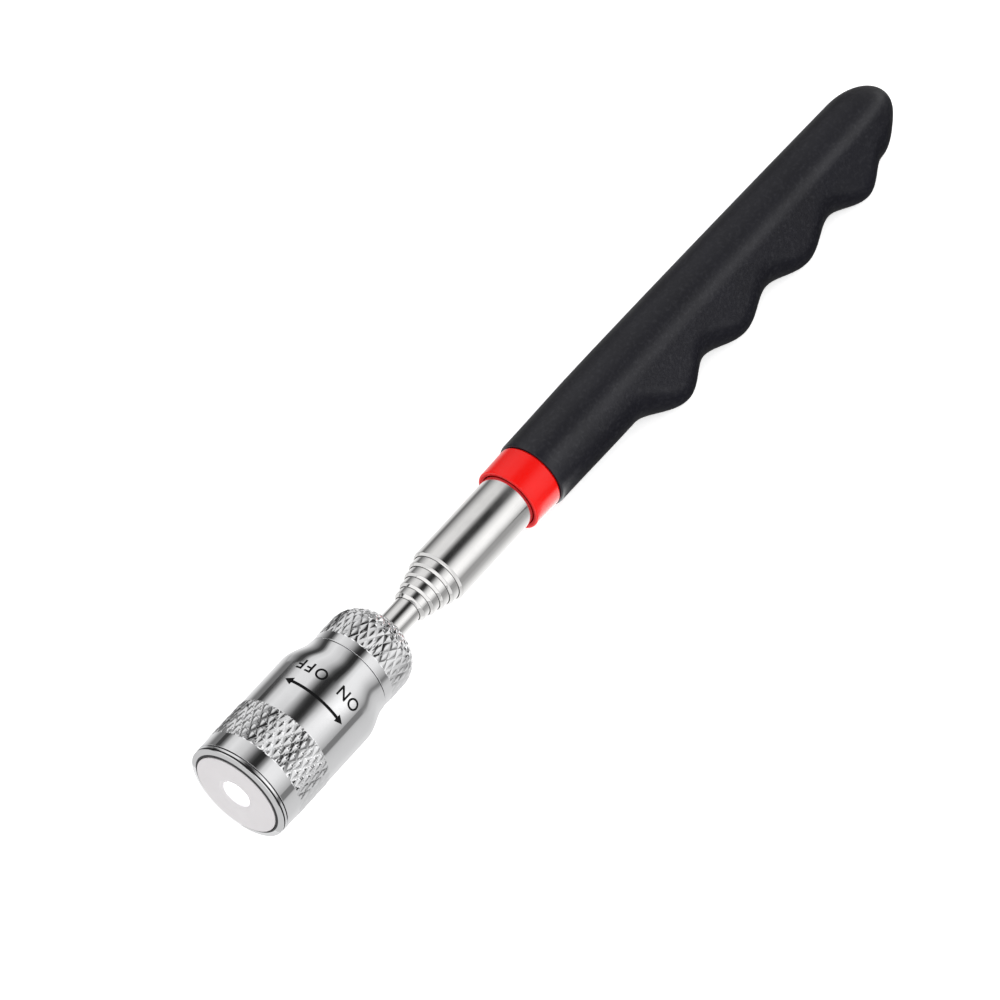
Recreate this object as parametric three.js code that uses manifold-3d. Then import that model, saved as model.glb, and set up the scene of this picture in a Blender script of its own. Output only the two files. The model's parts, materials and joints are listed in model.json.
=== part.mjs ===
// A telescopic magnetic pick-up tool with a lit head, collapsed and lying on its side on a table.
//
// Every piece is modelled along its own +X and placed on the tool's axis, where x is the distance
// in millimetres from the magnet face towards the closed end of the grip. The finger bumps of the
// grip point along the tool's -Y. The whole tool is then rolled and pitched on to the table: it
// rests on the shoulder of the barrel and on the flat flank of the grip. The exported group has
// +Z up, the head towards -X, and its origin under the middle of the tool, on the table.

import * as THREE from "three";
import { mergeVertices } from "three/addons/utils/BufferGeometryUtils.js";
import Module from "manifold-3d";

const wasm = await Module();
wasm.setup();

// ---------------------------------------------------------------- driving dimensions

const SIDES = { head: 28, grip: 30, tube: 24, small: 16 };
const DEGREE = Math.PI / 180;

// Head: magnet face at x = 0.
const BARREL_R = 9.0;
const KNURL_R = 9.15;
const BEZEL_R = 8.95;
const COVER_R = 7.6;
const LENS_HOLE_R = 2.6;
const BORE_R = 7.3;
const X_BEZEL_BACK = 1.35;
const X_MAGNET = 1.3;
const X_BARREL = 1.55;
const X_KNURL = [4.6, 12.0];
const X_SHOULDER = 22.0;
const X_BARREL_END = 27.6;
const BARREL_END_R = 7.6;
const CAP_R = 7.5;
const CAP_KNURL_R = 7.6;
const X_CAP = 27.85;
const X_CAP_KNURL = 29.6;
const X_CAP_DOME = 33.0;
const X_CAP_END = 37.8;
const SPIGOT_R = 7.1;
const SPIGOT_BORE_R = 6.35;
const X_SPIGOT = 19.5;
const X_O_RING = 25.4;
const X_CAP_FLOOR = 32.8;
const X_NECK_SCREW = 33.1;

// Clearance left between two pieces that rest on each other.
const REST_GAP = 0.1;

// Light: a 5 mm lamp on a board, fed by three 11.6 mm button cells.
const LAMP_R = 2.45;
const X_LAMP_TIP = 0.5;
const X_LAMP_FLANGE = 8.1;
const LAMP_FLANGE_LENGTH = 1.0;
const LEAD_SPREAD = 1.27;
const X_HOLDER = 7.7;
const X_BOARD = 9.9;
const BOARD_THICK = 1.0;
const RESISTOR = { thick: 0.5, width: 1.25, length: 2.0, offAxis: 4.2 };
const CELL_R = 5.8;
const CELL_LENGTH = 5.4;
const CELL_COUNT = 3;
const CELL_PITCH = 5.45;
const X_CELLS = 12.1;
const SPRING_WIRE_R = 0.3;

// Telescope: a fixed outer tube, four sliding sections and the rod that carries the head.
const TUBE_R = 4.95;
const RADIUS_STEP = 0.5;
const SECTION_COUNT = 4;
const ROD_R = 2.35;
const ROD_BORE_R = 1.9;
const WALL = 0.3;
const MOUTH_GAP = 0.07;
const MOUTH_LENGTH = 1.0;
const NECK_DEPTH = 0.12;
const NECK_LENGTH = 4.7;
const TAIL_LIP = 0.5;
const X_TUBE = 50.7;
const STEP_LENGTH = 1.85;
const X_TUBE_END = 163.2;
const X_SECTION_END = 159.2;
const X_ROD = 36.4;
const ROD_PLUG_INSET = 0.2;
const TAIL_PLUG_LENGTH = 3.2;

// Handle.
const X_COLLAR = 69.2;
const COLLAR_LENGTH = 5.9;
const COLLAR_R = [5.85, 5.95];
const COLLAR_SPIGOT_R = 5.6;
const COLLAR_SPIGOT_LENGTH = 6.3;
const HANDLE_BORE_R = 5.1;
const X_GRIP = 75.3;
const GRIP_EDGE_R = 6.05;
const GRIP_FRONT_R = 6.3;
const GRIP_R = 6.47;
const GRIP_END_R = 5.6;
const X_GRIP_FULL = 94;
const X_GRIP_DOME = 163;
const X_GRIP_END = 172.5;
const X_GRIP_BORE_END = 164.2;

// Finger bumps: where they start, crest, dip and end, and their heights above the round grip.
const BUMP_OUTLINE = [
  [95.0, 0],
  [105.1, 3.9],
  [112.6, 1.05],
  [121.4, 3.5],
  [130.1, 1.1],
  [139.1, 3.6],
  [147.9, 1.15],
  [156.2, 3.95],
  [163.2, 1.3],
  [170.5, 0],
];
// Where the flat flank of a bump leaves the round grip, measured round the axis from the crest.
const FLANK_ANGLE = 67.5 * DEGREE;

// Resting pose: the flank lies on the table, so the bumps point a little below the horizontal.
const ROLL = 90 * DEGREE - FLANK_ANGLE;
const PITCH = Math.atan((BARREL_R - GRIP_END_R) / (X_GRIP_DOME - X_SHOULDER));

// ---------------------------------------------------------------- materials

const metal = (color, roughness) =>
  new THREE.MeshStandardMaterial({ color, roughness, metalness: 1 });
const plastic = (color, roughness) =>
  new THREE.MeshStandardMaterial({ color, roughness, metalness: 0 });

const CHROME = metal(0xd6d6d8, 0.12);
const STEEL = metal(0xc9c8c6, 0.2);
const NICKEL = metal(0xb9b6b0, 0.35);
const BRASS = metal(0xc9a24e, 0.3);
const COVER_GREY = plastic(0xdcd9d9, 0.5);
const LAMP_CLEAR = plastic(0xf6f8ff, 0.1);
const HOLDER_WHITE = plastic(0xe8e8e4, 0.5);
const BOARD_GREEN = plastic(0x1f5a35, 0.6);
const SLEEVE_BLACK = plastic(0x202022, 0.5);
const COLLAR_RED = plastic(0xe8160f, 0.3);
const GRIP_BLACK = plastic(0x1d1d1f, 0.8);

// ---------------------------------------------------------------- shape helpers

// A solid of revolution about +X from a profile of [x, r] points. A profile that doesn't both
// start and end on the axis is closed on itself.
function revolve(profile, sides) {
  const endsOnAxis = profile[0][1] === 0 && profile.at(-1)[1] === 0;
  const loop = endsOnAxis ? profile : [...profile, profile[0]];
  let area = 0;
  loop.forEach(([x, r], i) => {
    const [nextX, nextR] = loop[(i + 1) % loop.length];
    area += x * nextR - nextX * r;
  });
  const ordered = area < 0 ? loop : [...loop].reverse();
  const points = ordered.map(([x, r]) => new THREE.Vector2(r, x));
  return new THREE.LatheGeometry(points, sides).rotateZ(-Math.PI / 2);
}

// Points of a quarter ellipse from (x0, r0) to (x1, r1), bulging outwards. It leaves the first
// point parallel to the axis.
function quarterRound([x0, r0], [x1, r1], steps) {
  return Array.from({ length: steps + 1 }, (_, i) => {
    const t = (i / steps) * (Math.PI / 2);
    return [x0 + (x1 - x0) * Math.sin(t), r1 + (r0 - r1) * Math.cos(t)];
  });
}

// Rises from 0 to 1 as t does, level at both ends.
const smoothRise = (t) => 0.5 - 0.5 * Math.cos(Math.PI * THREE.MathUtils.clamp(t, 0, 1));

// A flat outline in the YZ plane, extruded along +X from x = 0.
function extrudeAlongX(shape, depth, curveSegments) {
  const geometry = new THREE.ExtrudeGeometry(shape, { depth, bevelEnabled: false, curveSegments });
  return geometry.rotateX(Math.PI / 2).rotateZ(Math.PI / 2);
}

function toSolid(geometry) {
  const bare = geometry.clone();
  bare.deleteAttribute("normal");
  bare.deleteAttribute("uv");
  const merged = mergeVertices(bare, 1e-4);
  const vertProperties = new Float32Array(merged.attributes.position.array);
  const triVerts = new Uint32Array(merged.index.array);
  return new wasm.Manifold(new wasm.Mesh({ numProp: 3, vertProperties, triVerts }));
}

function toGeometry(solid) {
  const mesh = solid.getMesh();
  const geometry = new THREE.BufferGeometry();
  geometry.setAttribute("position", new THREE.BufferAttribute(mesh.vertProperties, 3));
  geometry.setIndex(new THREE.BufferAttribute(mesh.triVerts, 1));
  return geometry;
}

// ---------------------------------------------------------------- head pieces

function magnetCover() {
  const edge = 0.12;
  const thick = 0.95;
  return revolve(
    [
      [0, LENS_HOLE_R + edge],
      [0, COVER_R - edge],
      [edge, COVER_R],
      [thick, COVER_R],
      [thick, LENS_HOLE_R],
      [edge, LENS_HOLE_R],
    ],
    SIDES.head,
  );
}

function magnetCup() {
  const face = 0.1;
  const recess = { r: COVER_R + 0.15, end: 1.15 };
  const wall = { outer: 8.15, inner: 7.35 };
  const floor = { start: 6.6, end: 7.3, holeR: 3.0 };
  const groove = { start: 0.7, end: 1.0, depth: 0.22 };
  return revolve(
    [
      [face, recess.r],
      [face, BEZEL_R - 0.5],
      [face + 0.12, BEZEL_R - 0.12],
      [face + 0.4, BEZEL_R],
      [groove.start, BEZEL_R],
      [groove.start, BEZEL_R - groove.depth],
      [groove.end, BEZEL_R - groove.depth],
      [groove.end, BEZEL_R],
      [X_BEZEL_BACK, BEZEL_R],
      [X_BEZEL_BACK, wall.outer],
      [floor.end, wall.outer],
      [floor.end, floor.holeR],
      [floor.start, floor.holeR],
      [floor.start, wall.inner],
      [recess.end, wall.inner],
      [recess.end, recess.r],
    ],
    SIDES.head,
  );
}

function ringMagnet() {
  const length = 5.1;
  const radii = [3.0, 7.2];
  return revolve(
    [
      [0, radii[0]],
      [0, radii[1]],
      [length, radii[1]],
      [length, radii[0]],
    ],
    SIDES.head,
  );
}

// The barrel's shoulder falls to the neck in a smooth S, level at both ends.
function shoulder(steps) {
  return Array.from({ length: steps + 1 }, (_, i) => {
    const t = i / steps;
    const x = X_SHOULDER + (X_BARREL_END - X_SHOULDER) * t;
    return [x, BARREL_R + (BARREL_END_R - BARREL_R) * smoothRise(t)];
  });
}

function barrel() {
  const edge = 0.15;
  const cupBore = { r: 8.3, end: 7.5 };
  return revolve(
    [
      [X_BARREL, BARREL_R - edge],
      [X_BARREL + edge, BARREL_R],
      [X_KNURL[0], BARREL_R],
      [X_KNURL[0] + edge, KNURL_R],
      [X_KNURL[1] - edge, KNURL_R],
      [X_KNURL[1], BARREL_R],
      ...shoulder(8),
      [X_BARREL_END, BORE_R],
      [cupBore.end, BORE_R],
      [cupBore.end, cupBore.r],
      [X_BARREL, cupBore.r],
    ],
    SIDES.head,
  );
}

function rearCap() {
  const edge = 0.15;
  const groove = { half: 0.4, r: 6.76 };
  const domeEndR = 2.9;
  const rodBore = { r: ROD_R + 0.1, x: X_ROD - 0.2 };
  const screwHole = { r: 1.35, x: 34.6 };
  const headRecessR = 2.7;
  return revolve(
    [
      [X_SPIGOT, SPIGOT_BORE_R],
      [X_SPIGOT, SPIGOT_R - edge],
      [X_SPIGOT + edge, SPIGOT_R],
      [X_O_RING - groove.half, SPIGOT_R],
      [X_O_RING - groove.half, groove.r],
      [X_O_RING + groove.half, groove.r],
      [X_O_RING + groove.half, SPIGOT_R],
      [X_CAP, SPIGOT_R],
      [X_CAP, CAP_R - edge],
      [X_CAP + edge, CAP_R],
      [X_CAP_KNURL, CAP_R],
      [X_CAP_KNURL + edge, CAP_KNURL_R],
      ...quarterRound([X_CAP_DOME, CAP_KNURL_R], [X_CAP_END, domeEndR], 5),
      [X_CAP_END, rodBore.r],
      [rodBore.x, rodBore.r],
      [rodBore.x, screwHole.r],
      [screwHole.x, screwHole.r],
      [screwHole.x, headRecessR],
      [X_CAP_FLOOR, headRecessR],
      [X_CAP_FLOOR, SPIGOT_BORE_R],
    ],
    SIDES.head,
  );
}

function lamp() {
  const domeBase = X_LAMP_TIP + LAMP_R;
  const flange = { r: 2.85, end: X_LAMP_FLANGE + LAMP_FLANGE_LENGTH };
  const dome = quarterRound([domeBase, LAMP_R], [X_LAMP_TIP, 0], 5).reverse();
  return revolve(
    [
      [X_LAMP_TIP, 0],
      ...dome.slice(1),
      [X_LAMP_FLANGE, LAMP_R],
      [X_LAMP_FLANGE, flange.r],
      [flange.end, flange.r],
      [flange.end, 0],
    ],
    SIDES.small,
  );
}

function lampHolder() {
  const length = 2.0;
  const radii = [3.0, BORE_R - 0.15];
  return revolve(
    [
      [0, radii[0]],
      [0, radii[1]],
      [length, radii[1]],
      [length, radii[0]],
    ],
    SIDES.head,
  );
}

function lampBoard() {
  const holeR = 0.5;
  const outline = new THREE.Shape().absarc(0, 0, BORE_R - 0.2, 0, 2 * Math.PI);
  for (const side of [-1, 1]) {
    outline.holes.push(new THREE.Path().absarc(side * LEAD_SPREAD, 0, holeR, 0, 2 * Math.PI, true));
  }
  return extrudeAlongX(outline, BOARD_THICK, 16);
}

function lampLead() {
  const length = 1.6;
  const wireR = 0.25;
  const wire = new THREE.CylinderGeometry(wireR, wireR, length, 8);
  return wire.rotateZ(-Math.PI / 2).translate(length / 2, 0, 0);
}

function resistor() {
  return new THREE.BoxGeometry(RESISTOR.thick, RESISTOR.width, RESISTOR.length);
}

function positiveContact() {
  const foot = { r: 2.6, thick: 0.3 };
  const dimple = { baseR: 1.4, topR: 1.1, height: 0.75 };
  return revolve(
    [
      [0, 0],
      [0, foot.r],
      [foot.thick, foot.r],
      [foot.thick, dimple.baseR],
      [dimple.height, dimple.topR],
      [dimple.height, 0],
    ],
    SIDES.small,
  );
}

function cellSleeve() {
  const bore = CELL_R + 0.1;
  const outer = SPIGOT_BORE_R - 0.15;
  const flange = { r: BORE_R - 0.2, length: 1.5 };
  const length = 17.4;
  return revolve(
    [
      [0, bore],
      [0, flange.r],
      [flange.length, flange.r],
      [flange.length, outer],
      [length, outer],
      [length, bore],
    ],
    SIDES.head,
  );
}

function buttonCell() {
  const cap = { r: 4.6, length: 0.4 };
  const edge = 0.2;
  return revolve(
    [
      [0, 0],
      [0, CELL_R - edge],
      [edge, CELL_R],
      [CELL_LENGTH - cap.length, CELL_R],
      [CELL_LENGTH - cap.length, cap.r],
      [CELL_LENGTH, cap.r],
      [CELL_LENGTH, 0],
    ],
    SIDES.small,
  );
}

// The centreline of a conical spring about +X.
class ConicalSpring extends THREE.Curve {
  constructor({ turns, length, smallR, largeR }) {
    super();
    Object.assign(this, { turns, length, smallR, largeR });
  }

  getPoint(t, target = new THREE.Vector3()) {
    const angle = 2 * Math.PI * this.turns * t;
    const r = this.smallR + (this.largeR - this.smallR) * t;
    return target.set(this.length * t, r * Math.cos(angle), r * Math.sin(angle));
  }
}

function capSpring() {
  const turns = 3.5;
  const stepsPerTurn = 12;
  const path = new ConicalSpring({ turns, length: 3.6, smallR: 2.2, largeR: 5.2 });
  const corners = Array.from({ length: 6 }, (_, i) => {
    const angle = i * 60 * DEGREE;
    return new THREE.Vector2(SPRING_WIRE_R * Math.cos(angle), SPRING_WIRE_R * Math.sin(angle));
  });
  const section = new THREE.Shape(corners);
  return new THREE.ExtrudeGeometry(section, { steps: turns * stepsPerTurn, extrudePath: path });
}

function oRing() {
  const ring = { r: 7.02, wireR: 0.23, wireSides: 6 };
  return new THREE.TorusGeometry(ring.r, ring.wireR, ring.wireSides, SIDES.head).rotateY(Math.PI / 2);
}

function neckScrew() {
  const head = { r: 2.4, length: 1.3 };
  const shank = { r: 1.2, length: 9.6 };
  const slot = { width: 0.6, depth: 0.55 };
  const body = revolve(
    [
      [0, 0],
      [0, head.r - 0.3],
      [0.3, head.r],
      [head.length, head.r],
      [head.length, shank.r],
      [head.length + shank.length, shank.r],
      [head.length + shank.length, 0],
    ],
    SIDES.small,
  );
  const cutter = new THREE.BoxGeometry(2 * slot.depth, 3 * head.r, slot.width);
  return toGeometry(toSolid(body).subtract(toSolid(cutter)));
}

// ---------------------------------------------------------------- telescope pieces

// A tube of the telescope, from its crimped mouth to its tail. A sliding section has a neck at
// its tail, where its friction sleeve sits.
function telescopeTube({ r, boreR, mouthR, length, necked }) {
  const crimp = 0.35;
  const neck = [
    [length - TAIL_LIP - NECK_LENGTH, r],
    [length - TAIL_LIP - NECK_LENGTH, r - NECK_DEPTH],
    [length - TAIL_LIP, r - NECK_DEPTH],
    [length - TAIL_LIP, r],
  ];
  return revolve(
    [
      [0, mouthR],
      [0, r - 0.6 * crimp],
      [0.3 * crimp, r - 0.2 * crimp],
      [crimp, r],
      ...(necked ? neck : []),
      [length, r],
      [length, boreR],
      [MOUTH_LENGTH, boreR],
      [MOUTH_LENGTH - 0.2, mouthR],
    ],
    SIDES.tube,
  );
}

function rod() {
  const length = X_SECTION_END - X_ROD;
  return revolve(
    [
      [0, ROD_BORE_R],
      [0, ROD_R],
      [length - TAIL_LIP - NECK_LENGTH, ROD_R],
      [length - TAIL_LIP - NECK_LENGTH, ROD_R - NECK_DEPTH],
      [length - TAIL_LIP, ROD_R - NECK_DEPTH],
      [length - TAIL_LIP, ROD_R],
      [length, ROD_R],
      [length, ROD_BORE_R],
    ],
    SIDES.tube,
  );
}

// The split brass sleeve that grips the bore of the next tube outwards.
function frictionSleeve(sectionR, boreR) {
  const inner = sectionR - NECK_DEPTH + 0.08;
  const outer = boreR - 0.06;
  const slit = 25 * DEGREE;
  const outline = new THREE.Shape();
  outline.absarc(0, 0, outer, slit, 2 * Math.PI - slit);
  outline.absarc(0, 0, inner, 2 * Math.PI - slit, slit, true);
  return extrudeAlongX(outline, NECK_LENGTH - 0.2, 16);
}

function rodPlug() {
  const length = 8;
  const radii = [1.3, 1.8];
  return revolve(
    [
      [0, radii[0]],
      [0, radii[1]],
      [length, radii[1]],
      [length, radii[0]],
    ],
    SIDES.small,
  );
}

function tailPlug() {
  const bodyR = TUBE_R - WALL - 0.1;
  const end = TAIL_PLUG_LENGTH + 0.5;
  const edge = 0.4;
  return revolve(
    [
      [0, 0],
      [0, bodyR - edge],
      [edge, bodyR],
      [TAIL_PLUG_LENGTH, bodyR],
      [TAIL_PLUG_LENGTH, TUBE_R],
      [end, TUBE_R],
      [end, 0],
    ],
    SIDES.tube,
  );
}

// ---------------------------------------------------------------- handle pieces

function collar() {
  const edge = 0.4;
  const [frontR, backR] = COLLAR_R;
  return revolve(
    [
      [0, HANDLE_BORE_R],
      [0, frontR - edge],
      [0.3 * edge, frontR - 0.3 * edge],
      [edge, frontR],
      [COLLAR_LENGTH - 0.15, backR],
      [COLLAR_LENGTH, backR - 0.15],
      [COLLAR_LENGTH, COLLAR_SPIGOT_R],
      [COLLAR_LENGTH + COLLAR_SPIGOT_LENGTH, COLLAR_SPIGOT_R],
      [COLLAR_LENGTH + COLLAR_SPIGOT_LENGTH, HANDLE_BORE_R],
    ],
    SIDES.grip,
  );
}

// Radius of the round grip at x: it swells behind its front edge, tapers, and ends in a dome.
function gripRadius(x) {
  const edgeLength = 0.6;
  const taperPower = 1.5;
  if (x > X_GRIP_DOME) {
    const t = (x - X_GRIP_DOME) / (X_GRIP_END - X_GRIP_DOME);
    return GRIP_END_R * Math.sqrt(Math.max(0, 1 - t * t));
  }
  if (x > X_GRIP_FULL) {
    const t = (x - X_GRIP_FULL) / (X_GRIP_DOME - X_GRIP_FULL);
    return GRIP_R + (GRIP_END_R - GRIP_R) * t ** taperPower;
  }
  const front = X_GRIP + edgeLength;
  if (x > front) {
    return GRIP_FRONT_R + (GRIP_R - GRIP_FRONT_R) * smoothRise((x - front) / (X_GRIP_FULL - front));
  }
  const t = (front - x) / edgeLength;
  return GRIP_EDGE_R + (GRIP_FRONT_R - GRIP_EDGE_R) * Math.sqrt(1 - t * t);
}

// Height of the finger bumps above the round grip at x.
function bumpHeight(x) {
  const next = BUMP_OUTLINE.findIndex(([station]) => station > x);
  if (next < 1) return 0;
  const [startX, startHeight] = BUMP_OUTLINE[next - 1];
  const [endX, endHeight] = BUMP_OUTLINE[next];
  return startHeight + (endHeight - startHeight) * smoothRise((x - startX) / (endX - startX));
}

// Radius of the grip at x, in the direction "angle" round the axis from the crest of the bumps.
// The section is a round body and a smaller round bump, joined by the two flat flanks.
function gripSection(x, angle) {
  const bodyR = gripRadius(x);
  const height = bumpHeight(x);
  const away = Math.abs(Math.atan2(Math.sin(angle), Math.cos(angle)));
  if (away >= FLANK_ANGLE || height < 1e-6) return bodyR;
  const centre = height / (1 - Math.cos(FLANK_ANGLE));
  const bumpR = Math.max(bodyR + height - centre, 0);
  const flankEnd = Math.atan2(
    bumpR * Math.sin(FLANK_ANGLE),
    centre + bumpR * Math.cos(FLANK_ANGLE),
  );
  if (away > flankEnd) return bodyR / Math.cos(away - FLANK_ANGLE);
  return centre * Math.cos(away) + Math.sqrt(bumpR ** 2 - (centre * Math.sin(away)) ** 2);
}

function gripStations() {
  const edge = [0, 0.1, 0.3, 0.6].map((d) => X_GRIP + d);
  const plain = [81, 87.5];
  const bumps = BUMP_OUTLINE.slice(0, -1).flatMap(([start], k) => {
    const step = (BUMP_OUTLINE[k + 1][0] - start) / 3;
    return [start, start + step, start + 2 * step];
  });
  const run = bumps.filter((x) => x < X_GRIP_DOME);
  const domeLength = X_GRIP_END - X_GRIP_DOME;
  const dome = [0, 0.25, 0.45, 0.62, 0.77, 0.89, 0.97, 1].map((t) => X_GRIP_DOME + t * domeLength);
  return [...edge, ...plain, ...run, ...dome];
}

// The grip is a stack of rings: the outside from its front edge to the dome, then the blind bore
// back to the front. Its bore is counterbored for the collar's spigot.
function grip() {
  const step = (2 * Math.PI) / SIDES.grip;
  const spigotEnd = X_COLLAR + COLLAR_LENGTH + COLLAR_SPIGOT_LENGTH;
  const counterbore = { r: COLLAR_SPIGOT_R + 0.12, end: spigotEnd + 2 * REST_GAP };
  const outside = gripStations().map((x) => ({ x, r: (angle) => gripSection(x, angle) }));
  const inside = [
    [X_GRIP_BORE_END, 0],
    [X_GRIP_BORE_END, HANDLE_BORE_R],
    [counterbore.end, HANDLE_BORE_R],
    [counterbore.end, counterbore.r],
    [X_GRIP, counterbore.r],
  ].map(([x, r]) => ({ x, r: () => r }));
  const rings = [...outside, ...inside];
  const positions = [];
  for (const ring of rings) {
    for (let i = 0; i < SIDES.grip; i += 1) {
      const angle = i * step;
      const r = ring.r(angle);
      positions.push(ring.x, -r * Math.cos(angle), -r * Math.sin(angle));
    }
  }
  // The two rings on the axis, the tip of the dome and the end of the bore, aren't joined.
  const tip = outside.length - 1;
  const index = [];
  rings.forEach((_, k) => {
    if (k === tip) return;
    const next = (k + 1) % rings.length;
    for (let i = 0; i < SIDES.grip; i += 1) {
      const j = (i + 1) % SIDES.grip;
      const [near, far] = [k * SIDES.grip, next * SIDES.grip];
      index.push(near + i, near + j, far + j, near + i, far + j, far + i);
    }
  });
  const geometry = new THREE.BufferGeometry();
  geometry.setAttribute("position", new THREE.Float32BufferAttribute(positions, 3));
  geometry.setIndex(index);
  return geometry;
}

// ---------------------------------------------------------------- assembly

const pieces = new THREE.Group();

function place(name, geometry, material, x = 0, y = 0, z = 0) {
  const mesh = new THREE.Mesh(geometry, material);
  mesh.name = name;
  mesh.position.set(x, y, z);
  pieces.add(mesh);
}

function buildHead() {
  place("magnet_cover", magnetCover(), COVER_GREY);
  place("magnet_cup", magnetCup(), CHROME);
  place("ring_magnet", ringMagnet(), NICKEL, X_MAGNET);
  place("barrel", barrel(), CHROME);
  place("rear_cap", rearCap(), CHROME);
  place("o_ring", oRing(), GRIP_BLACK, X_O_RING);
  place("neck_screw", neckScrew(), STEEL, X_NECK_SCREW);
}

function buildLight() {
  const leadX = X_LAMP_FLANGE + LAMP_FLANGE_LENGTH + REST_GAP;
  const boardBack = X_BOARD + BOARD_THICK + REST_GAP;
  const cellsEnd = X_CELLS + CELL_COUNT * CELL_PITCH;
  place("led_lamp", lamp(), LAMP_CLEAR);
  place("led_holder", lampHolder(), HOLDER_WHITE, X_HOLDER);
  place("led_board", lampBoard(), BOARD_GREEN, X_BOARD);
  place("led_lead_anode", lampLead(), NICKEL, leadX, LEAD_SPREAD);
  place("led_lead_cathode", lampLead(), NICKEL, leadX, -LEAD_SPREAD);
  place("led_resistor", resistor(), SLEEVE_BLACK, boardBack + RESISTOR.thick / 2, RESISTOR.offAxis);
  place("positive_contact", positiveContact(), BRASS, boardBack);
  place("cell_sleeve", cellSleeve(), SLEEVE_BLACK, boardBack);
  for (let i = 0; i < CELL_COUNT; i += 1) {
    place(`button_cell_${i + 1}`, buttonCell(), NICKEL, X_CELLS + i * CELL_PITCH);
  }
  place("cap_spring", capSpring(), STEEL, cellsEnd + SPRING_WIRE_R + REST_GAP);
}

function buildTelescope() {
  // Radii from the outer tube inwards; the last is the rod's.
  const radii = Array.from({ length: SECTION_COUNT + 1 }, (_, k) => TUBE_R - k * RADIUS_STEP);
  radii.push(ROD_R);
  const sleeveX = X_SECTION_END - TAIL_LIP - NECK_LENGTH + REST_GAP;
  for (let k = 0; k <= SECTION_COUNT; k += 1) {
    const x = X_TUBE - k * STEP_LENGTH;
    const end = k === 0 ? X_TUBE_END : X_SECTION_END;
    const tube = telescopeTube({
      r: radii[k],
      boreR: radii[k] - WALL,
      mouthR: radii[k + 1] + MOUTH_GAP,
      length: end - x,
      necked: k > 0,
    });
    place(k === 0 ? "outer_tube" : `section_${k}`, tube, STEEL, x);
    place(`friction_sleeve_${k + 1}`, frictionSleeve(radii[k + 1], radii[k] - WALL), BRASS, sleeveX);
  }
  place("rod", rod(), STEEL, X_ROD);
  place("rod_plug", rodPlug(), BRASS, X_ROD + ROD_PLUG_INSET);
  place("tail_plug", tailPlug(), SLEEVE_BLACK, X_TUBE_END - TAIL_PLUG_LENGTH + REST_GAP);
}

function buildHandle() {
  place("collar", collar(), COLLAR_RED, X_COLLAR);
  place("grip", grip(), GRIP_BLACK);
}

buildHead();
buildLight();
buildTelescope();
buildHandle();

pieces.rotation.x = ROLL;
const tool = new THREE.Group();
tool.rotation.y = PITCH;
tool.add(pieces);
tool.updateMatrixWorld(true);
const box = new THREE.Box3().setFromObject(tool, true);
const middle = box.getCenter(new THREE.Vector3());
tool.position.set(-middle.x, -middle.y, -box.min.z);

export default tool;
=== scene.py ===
"""Looks for a telescopic magnetic pick-up tool: chrome head, steel tubes, red collar, rubber grip.

Every piece is shaped in tool space: millimetres, x along the tool's axis from the magnet face to
the closed end of the grip, and the finger bumps towards -y. TO_ROW takes tool space to the frame.
"""

import json
import math
from collections import namedtuple

import bmesh
import bpy
from mathutils import Matrix, Vector

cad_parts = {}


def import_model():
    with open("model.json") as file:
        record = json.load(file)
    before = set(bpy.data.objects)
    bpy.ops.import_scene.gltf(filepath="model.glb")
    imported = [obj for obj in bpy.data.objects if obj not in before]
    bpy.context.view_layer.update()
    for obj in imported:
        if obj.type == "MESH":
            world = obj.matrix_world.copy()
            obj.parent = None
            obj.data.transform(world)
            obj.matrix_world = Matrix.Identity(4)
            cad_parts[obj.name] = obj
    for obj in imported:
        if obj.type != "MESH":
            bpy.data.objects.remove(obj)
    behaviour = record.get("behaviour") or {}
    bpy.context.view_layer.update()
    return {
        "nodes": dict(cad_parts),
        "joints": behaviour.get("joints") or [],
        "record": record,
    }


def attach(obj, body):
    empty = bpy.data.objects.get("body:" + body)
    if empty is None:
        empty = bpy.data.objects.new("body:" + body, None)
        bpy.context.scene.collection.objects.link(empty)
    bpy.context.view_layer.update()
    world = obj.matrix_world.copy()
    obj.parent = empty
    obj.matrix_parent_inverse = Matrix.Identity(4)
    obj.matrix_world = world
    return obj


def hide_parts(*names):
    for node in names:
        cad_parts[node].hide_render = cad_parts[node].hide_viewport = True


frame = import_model()

# ---------------------------------------------------------------- the frame's tool space

FLANK_ANGLE = math.radians(67.5)
TWIST = next(j for j in frame["joints"] if j["name"] == "head_twist")
AXIS = -Vector(TWIST["axis"]).normalized()
PITCH = math.atan2(-AXIS.z, AXIS.x)
ROLL = math.pi / 2 - FLANK_ANGLE
TO_ROW = (
    Matrix.Translation(Vector(TWIST["pos_m"]))
    @ Matrix.Rotation(PITCH, 4, "Y")
    @ Matrix.Rotation(ROLL, 4, "X")
    @ Matrix.Scale(0.001, 4)
)

Span = namedtuple("Span", "start end radius")


def span(node):
    """Where a CAD node starts and ends along the tool, and its largest radius, in millimetres."""
    to_tool = TO_ROW.inverted()
    points = [to_tool @ v.co for v in frame["nodes"][node].data.vertices]
    along = [p.x for p in points]
    return Span(min(along), max(along), max(math.hypot(p.y, p.z) for p in points))


# ---------------------------------------------------------------- node helpers


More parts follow.
